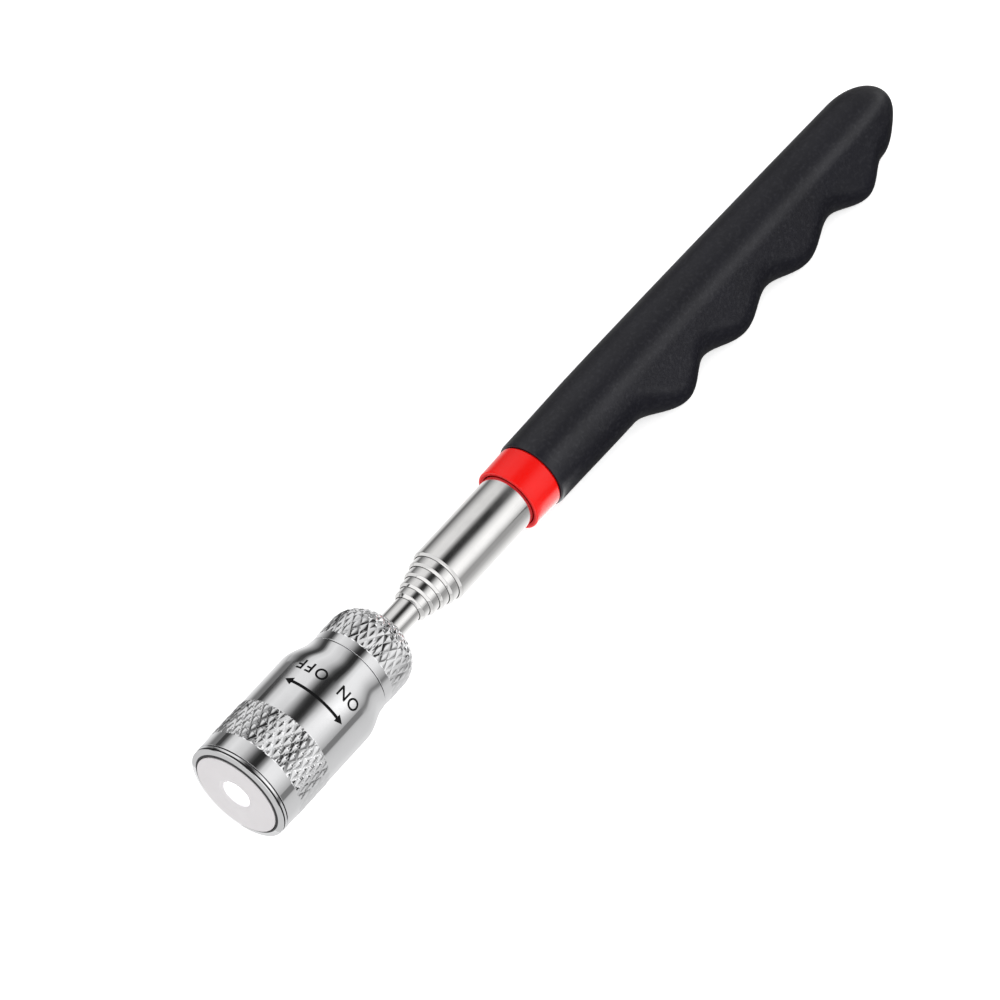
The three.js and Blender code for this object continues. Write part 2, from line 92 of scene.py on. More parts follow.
class Nodes:
    """A short way to build a node tree: add nodes, set their inputs and link them."""

    def __init__(self, tree):
        self.tree = tree

    def add(self, kind, inputs=None, **settings):
        node = self.tree.nodes.new(kind)
        for key, value in settings.items():
            setattr(node, key, value)
        for key, value in (inputs or {}).items():
            if isinstance(value, bpy.types.NodeSocket):
                self.tree.links.new(value, node.inputs[key])
            else:
                node.inputs[key].default_value = value
        return node

    def ramp(self, factor, stops):
        """A colour ramp; stops are (position, grey or colour)."""
        node = self.add("ShaderNodeValToRGB", {"Fac": factor})
        elements = node.color_ramp.elements
        while len(elements) < len(stops):
            elements.new(1.0)
        for element, (position, value) in zip(elements, stops):
            element.position = position
            element.color = (*value, 1) if isinstance(value, tuple) else (value, value, value, 1)
        return node.outputs["Color"]

    def noise(self, scale, stretch=(1, 1, 1), detail=3, roughness=0.5):
        """Noise in object space, finer along the axes that stretch says."""
        coordinates = self.add("ShaderNodeTexCoord")
        mapping = self.add(
            "ShaderNodeMapping", {"Vector": coordinates.outputs["Object"], "Scale": stretch}
        )
        settings = {"Scale": scale, "Detail": detail, "Roughness": roughness}
        texture = self.add("ShaderNodeTexNoise", {"Vector": mapping.outputs["Vector"], **settings})
        return texture.outputs["Fac"]

    def bump(self, height, distance, strength=1.0, normal=None):
        inputs = {"Height": height, "Distance": distance, "Strength": strength}
        if normal is not None:
            inputs["Normal"] = normal
        return self.add("ShaderNodeBump", inputs).outputs["Normal"]


def new_material(name):
    """An empty node material, and its helper and output node."""
    material = bpy.data.materials.new(name)
    material.use_nodes = True
    material.node_tree.nodes.clear()
    nodes = Nodes(material.node_tree)
    return material, nodes, nodes.add("ShaderNodeOutputMaterial")


def finish_material(material, nodes, output, shader_inputs):
    shader = nodes.add("ShaderNodeBsdfPrincipled", shader_inputs)
    nodes.tree.links.new(shader.outputs["BSDF"], output.inputs["Surface"])
    return material


# ---------------------------------------------------------------- materials


def metal(name, color, roughness, wear, grain=(1, 1, 1), grain_scale=900, grain_depth=2e-6):
    """A metal with faint smears in its gloss, and grain stretched by its finish."""
    material, nodes, output = new_material(name)
    smear = nodes.noise(160, detail=4, roughness=0.6)
    dark = tuple(c * (1 - wear) for c in color)
    grain_height = nodes.noise(grain_scale, grain, detail=2)
    return finish_material(
        material,
        nodes,
        output,
        {
            "Base Color": nodes.ramp(smear, [(0.3, dark), (0.65, color)]),
            "Metallic": 1.0,
            "Roughness": nodes.ramp(smear, [(0.3, roughness * 1.5), (0.7, roughness * 0.8)]),
            "Normal": nodes.bump(grain_height, grain_depth),
        },
    )


def plastic(name, color, roughness, grain_scale=2500, grain_depth=3e-6, mottle=0.08, shine=0.5):
    """A moulded plastic: colour a little uneven, with a fine moulding grain."""
    material, nodes, output = new_material(name)
    cloud = nodes.noise(220, detail=4)
    dark = tuple(c * (1 - mottle) for c in color)
    grain_height = nodes.noise(grain_scale, detail=3)
    return finish_material(
        material,
        nodes,
        output,
        {
            "Base Color": nodes.ramp(cloud, [(0.35, dark), (0.65, color)]),
            "Roughness": nodes.ramp(cloud, [(0.3, roughness * 1.15), (0.7, roughness * 0.9)]),
            "Specular IOR Level": shine,
            "Normal": nodes.bump(grain_height, grain_depth),
        },
    )


def grip_rubber():
    """Charcoal rubber: a fine pebbled grain, and dusty lighter patches over black."""
    material, nodes, output = new_material("grip_rubber")
    cloud = nodes.noise(95, detail=5, roughness=0.65)
    dust = nodes.ramp(nodes.noise(1700, detail=3), [(0.5, 0.0), (0.8, 0.4)])
    base = nodes.ramp(cloud, [(0.3, (0.0052, 0.0052, 0.0092)), (0.72, (0.0088, 0.0088, 0.0135))])
    color = nodes.add(
        "ShaderNodeMix",
        {"Factor": dust, "A": base, "B": (0.035, 0.035, 0.04, 1)},
        data_type="RGBA",
    )
    pebbles = nodes.bump(nodes.noise(2400, detail=3), 3.0e-5, 0.8)
    return finish_material(
        material,
        nodes,
        output,
        {
            "Base Color": color.outputs["Result"],
            "Roughness": nodes.ramp(cloud, [(0.3, 0.38), (0.7, 0.29)]),
            "Normal": nodes.bump(nodes.noise(700, detail=2), 1.2e-5, 0.5, pebbles),
        },
    )


def lamp_material():
    """The lit lamp: cool white, a little uneven where the light leaves the clear body."""
    material, nodes, output = new_material("led_clear")
    glow = nodes.ramp(nodes.noise(400), [(0.3, (0.93, 0.97, 1.0)), (0.7, 1.0)])
    return finish_material(
        material,
        nodes,
        output,
        {
            "Base Color": (0.9, 0.93, 1.0, 1),
            "Roughness": 0.1,
            "Emission Color": glow,
            "Emission Strength": 3.0,
        },
    )


MATERIALS = {
    "chrome": metal("chrome", (0.93, 0.93, 0.94), 0.06, 0.03, grain_depth=1e-6),
    "polished_steel": metal(
        "polished_steel", (0.88, 0.87, 0.86), 0.08, 0.04, (1, 12, 12), 260, 1.2e-6
    ),
    "plain_steel": metal("plain_steel", (0.62, 0.61, 0.6), 0.28, 0.15),
    "nickel_plate": metal("nickel_plate", (0.66, 0.64, 0.61), 0.24, 0.1),
    "brass": metal("brass", (0.78, 0.6, 0.28), 0.22, 0.2),
    "magnet_cover": plastic("magnet_cover", (0.545, 0.527, 0.536), 0.42, 1400, 4e-6, mottle=0.03),
    "led_clear": lamp_material(),
    "holder_white": plastic("holder_white", (0.8, 0.8, 0.77), 0.45),
    "board_green": plastic("board_green", (0.012, 0.11, 0.035), 0.3),
    "moulded_black": plastic("moulded_black", (0.012, 0.012, 0.013), 0.4),
    "seal_rubber": plastic("seal_rubber", (0.01, 0.01, 0.01), 0.55),
    "print_black": plastic("print_black", (0.004, 0.004, 0.0045), 0.6, shine=0.12),
    "collar_red": plastic("collar_red", (0.74, 0.003, 0.001), 0.16, 900, 2e-6, mottle=0.05, shine=0.4),
    # Near-black: painted shade for the cup's seam round the disc and its groove.
    "painted_gap_shade": plastic("painted_gap_shade", (0.03, 0.03, 0.032), 0.5, shine=0.3),
    # A deeper, rougher red: painted shade for the collar's front face.
    "collar_painted_shade": plastic("collar_painted_shade", (0.72, 0.002, 0.006), 0.5, 900, 2e-6, mottle=0.2, shine=0.2),
    "grip_rubber": grip_rubber(),
}

# ---------------------------------------------------------------- shape helpers


FILLET_STEPS = 5


def rounded(corners):
    """The closed outline through corners (x, r) or (x, r, fillet), with each fillet as an arc."""
    points = []
    for k, (x, r, *fillet) in enumerate(corners):
        here = Vector((x, r))
        if not fillet:
            points.append((x, r))
            continue
        before = Vector(corners[k - 1][:2]) - here
        after = Vector(corners[(k + 1) % len(corners)][:2]) - here
        half = before.angle(after) / 2
        reach = min(fillet[0] / math.tan(half), 0.49 * before.length, 0.49 * after.length)
        before.normalize()
        after.normalize()
        centre = here + (before + after).normalized() * reach / math.cos(half)
        sweep = math.pi - 2 * half
        start = here + before * reach - centre
        end = here + after * reach - centre
        for i in range(FILLET_STEPS + 1):
            t = i / FILLET_STEPS
            weights = (math.sin((1 - t) * sweep), math.sin(t * sweep))
            point = centre + (start * weights[0] + end * weights[1]) / math.sin(sweep)
            points.append(tuple(point))
    return points


def quarter_round(start, end, steps):
    """Points from start to end on a quarter ellipse that leaves start along the axis."""
    turns = [math.pi / 2 * i / steps for i in range(steps + 1)]
    (x0, r0), (x1, r1) = start, end
    return [(x0 + (x1 - x0) * math.sin(t), r1 + (r0 - r1) * math.cos(t)) for t in turns]


def smooth_rise(t):
    """Rises from 0 to 1 as t does, level at both ends."""
    return 0.5 - 0.5 * math.cos(math.pi * min(max(t, 0), 1))


def add_piece(name, mesh, body, slot, stands_for=(), material=None, sharp=35):
    """Puts a mesh made in tool space on its body, with the named material, or else its slot's."""
    mesh.transform(TO_ROW)
    mesh.polygons.foreach_set("use_smooth", [True] * len(mesh.polygons))
    mesh.set_sharp_from_angle(angle=math.radians(sharp))
    if not mesh.materials:
        mesh.materials.append(MATERIALS[material or slot])
    piece = bpy.data.objects.new(name, mesh)
    bpy.context.scene.collection.objects.link(piece)
    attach(piece, body)
    if stands_for:
        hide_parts(*stands_for)
    return piece


def use_two_materials(mesh, first, second, chosen):
    """Gives a mesh made in tool space a second material where chosen(x, r) holds for a face."""
    mesh.materials.append(MATERIALS[first])
    mesh.materials.append(MATERIALS[second])
    for face in mesh.polygons:
        if chosen(face.center.x, math.hypot(face.center.y, face.center.z)):
            face.material_index = 1


def with_supports(rings):
    """Adds a ring near both ends of each long plain stretch, so that the stretch is shaded straight."""
    long, reach = 0.8, 0.04
    supported = []
    for here, there in zip(rings, rings[1:] + rings[:1]):
        supported.append(here)
        if isinstance(here, list) or isinstance(there, list) or here[1] == there[1] == 0:
            continue
        length = math.dist(here, there)
        if length > long:
            for share in (reach / length, 1 - reach / length):
                supported.append(tuple(a + (b - a) * share for a, b in zip(here, there)))
    return supported


def ring_mesh(name, rings, columns):
    """A closed mesh from rings round the axis.

    A ring is one (x, r) pair, or a list with a pair for each column. The last ring joins the
    first, unless both are on the axis. A quad that isn't flat is split along its level diagonal.
    """
    shape = bmesh.new()
    turns = [(math.cos(t), math.sin(t)) for t in (2 * math.pi * i / columns for i in range(columns))]
    rows = []
    for ring in with_supports(rings):
        pairs = ring if isinstance(ring, list) else [ring] * columns
        rows.append([shape.verts.new((x, -r * c, -r * s)) for (x, r), (c, s) in zip(pairs, turns)])
    radii = [[math.hypot(v.co.y, v.co.z) for v in row] for row in rows]
    on_axis = max(radii[0]) < 1e-9 and max(radii[-1]) < 1e-9
    for k in range(len(rows) - (1 if on_axis else 0)):
        n = (k + 1) % len(rows)
        for i in range(columns):
            j = (i + 1) % columns
            a, b, c, d = rows[k][i], rows[k][j], rows[n][j], rows[n][i]
            uneven = abs(radii[k][i] - radii[k][j]) + abs(radii[n][i] - radii[n][j])
            if uneven < 1e-7:
                shape.faces.new((a, b, c, d))
            elif abs(radii[k][i] - radii[n][j]) < abs(radii[k][j] - radii[n][i]):
                shape.faces.new((a, b, c))
                shape.faces.new((a, c, d))
            else:
                shape.faces.new((a, b, d))
                shape.faces.new((b, c, d))
    bmesh.ops.remove_doubles(shape, verts=shape.verts, dist=1e-5)
    bmesh.ops.recalc_face_normals(shape, faces=shape.faces)
    mesh = bpy.data.meshes.new(name)
    shape.to_mesh(mesh)
    shape.free()
    return mesh


# ---------------------------------------------------------------- knurling

KNURL_CELLS = 6  # grid steps across one diamond
CREST_FLAT = 2  # of those, the width of its flat top


def knurl_height(i, j):
    """Height of a diamond knurl, from 0 in a groove to 1 on a crest, at grid point i, j."""
    half = KNURL_CELLS / 2
    distances = [half - abs((i + sign * j) % KNURL_CELLS - half) for sign in (1, -1)]
    return min(1.0, *(d / (half - CREST_FLAT / 2) for d in distances))


# ---------------------------------------------------------------- head

BARREL = span("barrel")
CAP = span("rear_cap")
CUP = span("magnet_cup")
COVER = span("magnet_cover")
PLAIN_R = BARREL.radius - 0.15
KNURL_R = BARREL.radius - 0.05
KNURL_DEPTH = 0.19
BARREL_STARTS = 36
CAP_STARTS = 30
DIAMOND_LENGTH = 2.7
SPIGOT_R = 7.1
NECK_X = BARREL.end + 0.25
NECK_R = CAP.radius - 0.1


def barrel():
    """The barrel: a plain front band, a knurled band, the marked band and an ogee shoulder."""
    band_start = BARREL.start + 3.05
    band_rows = 16
    run_out = 0.14
    shoulder = BARREL.end - 5.6
    end_r = NECK_R + 0.1
    edge_round = 0.06
    bore_r = 7.3
    mouth_r = 8.3
    mouth_depth = 7.5
    slope_steps = 24
    columns = BARREL_STARTS * KNURL_CELLS
    band = []
    for j in range(band_rows + 1):
        x = band_start + j * DIAMOND_LENGTH / KNURL_CELLS
        heights = [knurl_height(i, j) for i in range(columns)]
        band.append([(x, KNURL_R - KNURL_DEPTH * (1 - h)) for h in heights])
    band_end = band[-1][0][0]
    slope = [(shoulder, PLAIN_R)]
    for k in range(1, slope_steps + 1):
        x = shoulder + (BARREL.end - shoulder) * k / slope_steps
        slope.append((x, PLAIN_R + (end_r - PLAIN_R) * smooth_rise(k / slope_steps)))
    edge_start = (BARREL.start, PLAIN_R - edge_round)
    edge_end = (BARREL.start + edge_round, PLAIN_R)
    rings = [
        (BARREL.start, mouth_r),
        *quarter_round(edge_end, edge_start, 3)[::-1],
        (band_start - run_out, PLAIN_R),
        *band,
        (band_end + run_out, PLAIN_R),
        *slope,
        (BARREL.end, bore_r),
        (mouth_depth, bore_r),
        (mouth_depth, mouth_r),
    ]
    mesh = ring_mesh("barrel", rings, columns)
    return add_piece("chrome_barrel", mesh, "head", "chrome", ["barrel"])


def rear_cap():
    """The cap: a spigot inside the barrel, a plain neck, and knurling that runs over its dome."""
    band_start = NECK_X + 1.75
    run_out = 0.12
    dome_start = CAP.end - 4.8
    dome_steps = 60
    neck_round = 0.15
    mouth_r = 2.9
    last_knurl_r = 4.0
    rod_hole_r = span("rod").radius + 0.1
    screw_hole_r = 1.35
    head_hole_r = 2.7
    rod_seat = CAP.end - 1.6
    screw_seat = CAP.end - 3.2
    spigot_floor = CAP.end - 5.0
    spigot_bore_r = 6.35
    groove_r = 6.76
    groove = (NECK_X - 2.85, NECK_X - 2.05)
    columns = CAP_STARTS * KNURL_CELLS
    outline = [(band_start, CAP.radius), (dome_start, CAP.radius)]
    outline += quarter_round((dome_start, CAP.radius), (CAP.end, mouth_r), dome_steps)[1:]
    neck_edge = (NECK_X, NECK_R - neck_round)
    rings = [
        *quarter_round((NECK_X + neck_round, NECK_R), neck_edge, 4)[::-1],
        (band_start - run_out, NECK_R),
        *knurled_outline(outline, columns, DIAMOND_LENGTH / KNURL_CELLS, last_knurl_r),
        (CAP.end, mouth_r),
        (CAP.end, rod_hole_r),
        (rod_seat, rod_hole_r),
        (rod_seat, screw_hole_r),
        (screw_seat, screw_hole_r),
        (screw_seat, head_hole_r),
        (spigot_floor, head_hole_r),
        (spigot_floor, spigot_bore_r),
        (CAP.start, spigot_bore_r),
        (CAP.start, SPIGOT_R),
        (groove[0], SPIGOT_R),
        (groove[0], groove_r),
        (groove[1], groove_r),
        (groove[1], SPIGOT_R),
        (NECK_X, SPIGOT_R),
    ]
    mesh = ring_mesh("rear_cap", rings, columns)
    return add_piece("knurled_cap", mesh, "rod", "chrome", ["rear_cap"])


def knurled_outline(outline, columns, row_step, last_r):
    """Knurled rings along an outline. The diamonds shrink with the radius, and end at last_r."""
    full_r = outline[0][1]
    points = [Vector(p) for p in outline]
    here = points.pop(0)
    rings = []
    while here.y > last_r and points:
        along = (points[0] - here).normalized()
        inward = Vector((along.y, -along.x))
        scale = here.y / full_r
        heights = [knurl_height(i, len(rings)) for i in range(columns)]
        rings.append([tuple(here + inward * KNURL_DEPTH * scale * (1 - h)) for h in heights])
        left = row_step * scale
        while points and (points[0] - here).length < left:
            left -= (points[0] - here).length
            here = points.pop(0)
        if points:
            here = here + (points[0] - here).normalized() * left
    return [*rings, tuple(here)]


def magnet_cup():
    """The cup: a rim with painted shade in the seam round the disc and in the groove, and the magnet's
    wall.
    """
    front, edge = CUP.start, CUP.radius
    lip = COVER.radius + 0.12
    seam_r = lip + 0.3
    groove_start, groove_end = front + 0.56, front + 0.84
    groove_r = edge - 0.3
    recess_end = front + 1.05
    flange_back = front + 1.25
    wall_outer, wall_inner = 8.15, 7.35
    floor_start, floor_hole_r = CUP.end - 0.7, 3.0
    outline = rounded(
        [
            (recess_end, lip),
            (front, lip, 0.04),
            (front + 0.22, seam_r, 0.05),
            (front + 0.42, edge, 0.16),
            (groove_start, edge),
            (groove_start, groove_r),
            (groove_end, groove_r),
            (groove_end, edge),
            (flange_back, edge, 0.03),
            (flange_back, wall_outer),
            (CUP.end, wall_outer),
            (CUP.end, floor_hole_r),
            (floor_start, floor_hole_r),
            (floor_start, wall_inner),
            (recess_end, wall_inner),
        ]
    )

    # Faces in the seam and the groove take the near-black material: painted shade where the gap and the
    # groove lie in shadow.
    def in_painted_shade(x, r):
        in_seam = x < recess_end and r < seam_r
        in_groove = groove_start - 0.01 < x < groove_end + 0.01 and wall_outer < r < edge - 0.05
        return in_seam or in_groove

    mesh = ring_mesh("magnet_cup", outline, 144)
    use_two_materials(mesh, "chrome", "painted_gap_shade", in_painted_shade)
    return add_piece("chrome_rim", mesh, "head", "chrome", ["magnet_cup"])


def magnet_cover():
    """The front disc, with a shallow bevel round the lamp hole."""
    hole_r = 2.6
    hole_back_r = 2.48
    back = COVER.end + 0.08
    outline = rounded(
        [
            (COVER.start, hole_r + 0.55, 0.15),
            (COVER.start, COVER.radius, 0.14),
            (back, COVER.radius),
            (back, hole_back_r),
            (COVER.start + 0.22, hole_r, 0.05),
        ]
    )
    mesh = ring_mesh("magnet_cover", outline, 144)
    return add_piece("face_disc", mesh, "head", "magnet_cover", ["magnet_cover"])


def lamp():
    """The 5 mm lamp: a domed body on a flange."""
    size = span("led_lamp")
    body_r = 2.45
    flange = size.end - 1.0
    dome = quarter_round((size.start + body_r, body_r), (size.start, 0), 12)[::-1]
    outline = [*dome, (flange, body_r), (flange, size.radius), (size.end, size.radius), (size.end, 0)]
    mesh = ring_mesh("led_lamp", outline, 48)
    return add_piece("lit_lamp", mesh, "head", "led_clear", ["led_lamp"])


# ---------------------------------------------------------------- marks on the barrel

PRINT_THICK = 0.035
WORD_X = 21.0
ARROW_X = 17.3
# In degrees round the barrel from the tool's z axis, towards the finger bumps.
ON_ANGLE = 17.2
OFF_ANGLE = -30.0
ARROW_ENDS = (-47.2, 30.1)


def wrap_on_barrel(mesh, x, angle):
    """Bends a flat mark on to the barrel: its +x goes from ON towards OFF, its +y to the face."""
    for v in mesh.vertices:
        turn = angle - v.co.x / PLAIN_R
        radius = PLAIN_R + v.co.z
        v.co = Vector((x - v.co.y, -radius * math.sin(turn), radius * math.cos(turn)))


def print_mark(name, shape, x, angle):
    """Cuts a flat shape finely enough to bend, thickens it, and puts it on the barrel."""
    slice_width = 0.25
    low = min(v.co.x for v in shape.verts)
    high = max(v.co.x for v in shape.verts)
    for k in range(1, int((high - low) / slice_width) + 1):
        geometry = shape.verts[:] + shape.edges[:] + shape.faces[:]
        cut = (low + k * slice_width, 0, 0)
        bmesh.ops.bisect_plane(shape, geom=geometry, plane_co=cut, plane_no=(1, 0, 0))
    grown = bmesh.ops.extrude_face_region(shape, geom=shape.faces[:])["geom"]
    for item in grown:
        if isinstance(item, bmesh.types.BMVert):
            item.co.z += PRINT_THICK
    bmesh.ops.recalc_face_normals(shape, faces=shape.faces)
    mesh = bpy.data.meshes.new(name)
    shape.to_mesh(mesh)
    shape.free()
    wrap_on_barrel(mesh, x, math.radians(angle))
    return add_piece(name, mesh, "head", "moulded_black", material="print_black")


def word_mark(name, word, angle, spacing):
    """A word on the barrel, its letters' tops towards the magnet face."""
    cap_height = 1.9
    cap_share = 0.7
    curve = bpy.data.curves.new(name, "FONT")
    curve.body = word
    curve.align_x = "CENTER"
    curve.align_y = "CENTER"
    curve.size = cap_height / cap_share
    curve.space_character = spacing
    curve.offset = 0.035
    curve.resolution_u = 6
    holder = bpy.data.objects.new(name, curve)
    bpy.context.scene.collection.objects.link(holder)
    depsgraph = bpy.context.evaluated_depsgraph_get()
    flat = bpy.data.meshes.new_from_object(holder.evaluated_get(depsgraph))
    bpy.data.objects.remove(holder)
    shape = bmesh.new()
    shape.from_mesh(flat)
    return print_mark(name, shape, WORD_X, angle)


def arrow_mark(off_end, on_end):
    """The double-headed arrow that runs round the barrel between OFF and ON."""
    tip = PLAIN_R * math.radians(on_end - off_end) / 2
    line = 0.24
    head = 1.4
    wing = 0.72
    right = [(tip - head, line), (tip - head, wing), (tip, 0), (tip - head, -wing), (tip - head, -line)]
    left = [(-x, y) for x, y in reversed(right)]
    shape = bmesh.new()
    shape.faces.new([shape.verts.new((x, y, 0)) for x, y in right + left])
    return print_mark("switch_arrow", shape, ARROW_X, (on_end + off_end) / 2)


# ---------------------------------------------------------------- telescope


def tube(node, body, inner):
    """A tube whose mouth is swaged in towards the next section, with a step that holds it in."""
    size = span(node)
    wall = 0.3
    mouth_r = span(inner).radius + 0.1
    bore_r = size.radius - wall
    bevel = size.radius - mouth_r - 0.02
    mouth_end = size.start + 0.82
    outline = rounded(
        [
            (size.start, mouth_r),
            (size.start, mouth_r + 0.02, 0.01),
            (size.start + bevel, size.radius, 0.16),
            (size.end, size.radius, 0.1),
            (size.end, bore_r),
            (mouth_end + 0.2, bore_r),
            (mouth_end, mouth_r),
        ]
    )
    mesh = ring_mesh(node, outline, 96)
    return add_piece(f"polished_{node}", mesh, body, "polished_steel", [node])


def rod():
    size = span("rod")
    bore_r = 1.9
    outline = [
        (size.start, bore_r),
        (size.start, size.radius - 0.1),
        (size.start + 0.1, size.radius),
        (size.end, size.radius),
        (size.end, bore_r),
    ]
    mesh = ring_mesh("rod", outline, 72)
    return add_piece("polished_rod", mesh, "rod", "polished_steel", ["rod"])


def telescope():
    nodes = ["outer_tube", *(f"section_{k}" for k in range(1, 5)), "rod"]
    for node, inner in zip(nodes, nodes[1:]):
        tube(node, "handle" if node == "outer_tube" else node, inner)
    rod()


# ---------------------------------------------------------------- handle


def collar():
    """The glossy red collar, its front face painted a deeper red as shade, and a spigot inside the
    grip.
    """
    size = span("collar")
    back = size.start + 5.9
    spigot_r = 5.6
    bore_r = 5.1
    dish = 0.12
    face_r = size.radius - 0.42
    outline = rounded(
        [
            (size.start + dish, bore_r),
            (size.start, face_r, 0.02),
            (size.start + 0.06, size.radius - 0.1, 0.3),
            (back, size.radius, 0.25),
            (back, spigot_r),
            (size.end, spigot_r, 0.1),
            (size.end, bore_r),
        ]
    )
    mesh = ring_mesh("collar", outline, 144)
    # The dished front face takes the deeper red: painted shade on the face.
    use_two_materials(
        mesh, "collar_red", "collar_painted_shade", lambda x, r: x < size.start + dish and r < face_r
    )
    return add_piece("red_collar", mesh, "handle", "collar_red", ["collar"])


GRIP = span("grip")
GRIP_FULL = 94.0
GRIP_DOME = 163.0
GRIP_EDGE = 0.6
GRIP_RADII = {"edge": 6.05, "front": 6.3, "full": 6.47, "end": 5.6}
BUMPS = [
    (95.0, 0.0),
    (105.1, 3.9),
    (112.6, 1.05),
    (121.4, 3.5),
    (130.1, 1.1),
    (139.1, 3.6),
    (147.9, 1.15),
    (156.2, 3.95),
    (163.2, 1.3),
    (170.5, 0.0),
]


def grip_radius(x):
    """Radius of the round part of the grip: front edge, swell, taper and end dome."""
    radii = GRIP_RADII
    front = GRIP.start + GRIP_EDGE
    if x > GRIP_DOME:
        t = (x - GRIP_DOME) / (GRIP.end - GRIP_DOME)
        return radii["end"] * math.sqrt(max(0.0, 1 - t * t))
    if x > GRIP_FULL:
        t = (x - GRIP_FULL) / (GRIP_DOME - GRIP_FULL)
        return radii["full"] + (radii["end"] - radii["full"]) * t**1.5
    if x > front:
        t = (x - front) / (GRIP_FULL - front)
        return radii["front"] + (radii["full"] - radii["front"]) * smooth_rise(t)
    t = (front - x) / GRIP_EDGE
    return radii["edge"] + (radii["front"] - radii["edge"]) * math.sqrt(max(0.0, 1 - t * t))


def bump_height(x):
    for (x0, h0), (x1, h1) in zip(BUMPS, BUMPS[1:]):
        if x0 <= x < x1:
            return h0 + (h1 - h0) * smooth_rise((x - x0) / (x1 - x0))
    return 0.0


def grip_section(x, angle):
    """Radius at x and angle from the crests: a round body and a round bump joined by flat flanks."""
    body_r = grip_radius(x)
    height = bump_height(x)
    away = abs(math.atan2(math.sin(angle), math.cos(angle)))
    if away >= FLANK_ANGLE or height < 1e-6:
        return body_r
    centre = height / (1 - math.cos(FLANK_ANGLE))
    bump_r = max(body_r + height - centre, 0.0)
    flank_end = math.atan2(
        bump_r * math.sin(FLANK_ANGLE), centre + bump_r * math.cos(FLANK_ANGLE)
    )
    if away > flank_end:
        return body_r / math.cos(away - FLANK_ANGLE)
    return centre * math.cos(away) + math.sqrt(bump_r**2 - (centre * math.sin(away)) ** 2)


def grip():
    """The rubber grip as closely spaced rings, hollow where it is pushed over the tube."""
    columns = 120
    bore_r = 5.1
    bore_end = 164.2
    collar_bore_r = 5.72
    collar_bore_end = 81.6
    spacing = 0.6
    edge = GRIP_EDGE
    front = GRIP.start + edge
    edge_steps, dome_steps = 6, 24
    count = round((GRIP_DOME - front) / spacing)
    stations = [front - edge * math.cos(math.pi / 2 * i / edge_steps) for i in range(edge_steps)]
    stations += [front + (GRIP_DOME - front) * i / count for i in range(count)]
    dome_turns = [math.pi / 2 * i / dome_steps for i in range(dome_steps)]
    stations += [GRIP_DOME + (GRIP.end - GRIP_DOME) * math.sin(t) for t in dome_turns]
    turns = [2 * math.pi * i / columns for i in range(columns)]
    rings = [
        (bore_end, 0),
        (bore_end, bore_r),
        (collar_bore_end, bore_r),
        (collar_bore_end, collar_bore_r),
        (GRIP.start, collar_bore_r),
        *[[(x, grip_section(x, t)) for t in turns] for x in stations],
        (GRIP.end, 0),
    ]
    mesh = ring_mesh("grip", rings, columns)
    return add_piece("rubber_grip", mesh, "handle", "grip_rubber", ["grip"], sharp=50)


# ---------------------------------------------------------------- build

barrel()
rear_cap()
magnet_cup()
magnet_cover()
lamp()
word_mark("mark_on", "ON", ON_ANGLE, 1.1)
word_mark("mark_off", "OFF", OFF_ANGLE, 1.3)
arrow_mark(*ARROW_ENDS)
telescope()
collar()
grip()

SLOT_OF = {s["node"]: s["material_slot"] for s in frame["record"]["subparts"]}
for node, obj in frame["nodes"].items():
    obj.data.materials.clear()
    obj.data.materials.append(MATERIALS[SLOT_OF[node]])

# ---------------------------------------------------------------- stage, light and camera


def stage_mesh(name, verts, faces, material):
    mesh = bpy.data.meshes.new(name)
    mesh.from_pydata(verts, [], faces)
    mesh.materials.append(material)
    obj = bpy.data.objects.new(name, mesh)
    bpy.context.scene.collection.objects.link(obj)
    return obj


def reflected(name, verts, faces, material):
    """A glowing surface that only shows in reflections."""
    obj = stage_mesh(name, verts, faces, material)
    obj.visible_camera = False
    obj.visible_diffuse = False
    obj.visible_transmission = False
    obj.visible_shadow = False
    obj.visible_volume_scatter = False


def emitter(name, factor_of, stops):
    """A material that only glows, with a brightness ramp over a factor worked out from place."""
    material, nodes, output = new_material(name)
    place = nodes.add("ShaderNodeTexCoord").outputs["Object"]
    axes = nodes.add("ShaderNodeSeparateXYZ", {"Vector": place}).outputs
    color = nodes.ramp(factor_of(nodes, axes), stops)
    glow = nodes.add("ShaderNodeEmission", {"Color": color})
    nodes.tree.links.new(glow.outputs["Emission"], output.inputs["Surface"])
    return material


def floor():
    material, nodes, output = new_material("floor")
    tone = nodes.ramp(nodes.noise(3), [(0.3, 0.88), (0.7, 0.9)])
    lift = {"Emission Color": (1, 1, 1, 1), "Emission Strength": 0.45}
    finish_material(material, nodes, output, {"Base Color": tone, "Roughness": 0.9, **lift})
    size = 12.0
    corners = [(-size, -size, 0), (size, -size, 0), (size, size, 0), (-size, size, 0)]
    stage_mesh("floor", corners, [(0, 1, 2, 3)], material)


# Brightness of the light tunnel, by degrees from straight up towards the bump side, where the
# head, the tubes and the grip mirror it.
HEAD_LIGHT = [
    (-90, 0.05),
    (-80, 0.05),
    (-73, 0.24),
    (-65, 0.66),
    (-50, 0.8),
    (-37, 0.7),
    (-25, 0.62),
    (-13, 0.36),
    (-3, 0.09),
    (4, 0.025),
    (13, 0.025),
    (20, 0.25),
    (26, 0.68),
    (36, 0.88),
    (48, 0.88),
    (58, 0.84),
    (70, 0.7),
    (82, 0.52),
    (90, 0.4),
]
TUBE_LIGHT = [
    (-90, 0.26),
    (-80, 0.38),
    (-66, 0.64),
    (-52, 0.82),
    (-38, 0.82),
    (-25, 0.78),
    (-15, 0.36),
    (-6, 0.06),
    (0, 0.025),
    (9, 0.025),
    (15, 0.1),
    (21, 0.3),
    (27, 0.55),
    (36, 0.85),
    (50, 1.12),
    (62, 1.15),
    (72, 0.98),
    (82, 0.68),
    (90, 0.45),
]
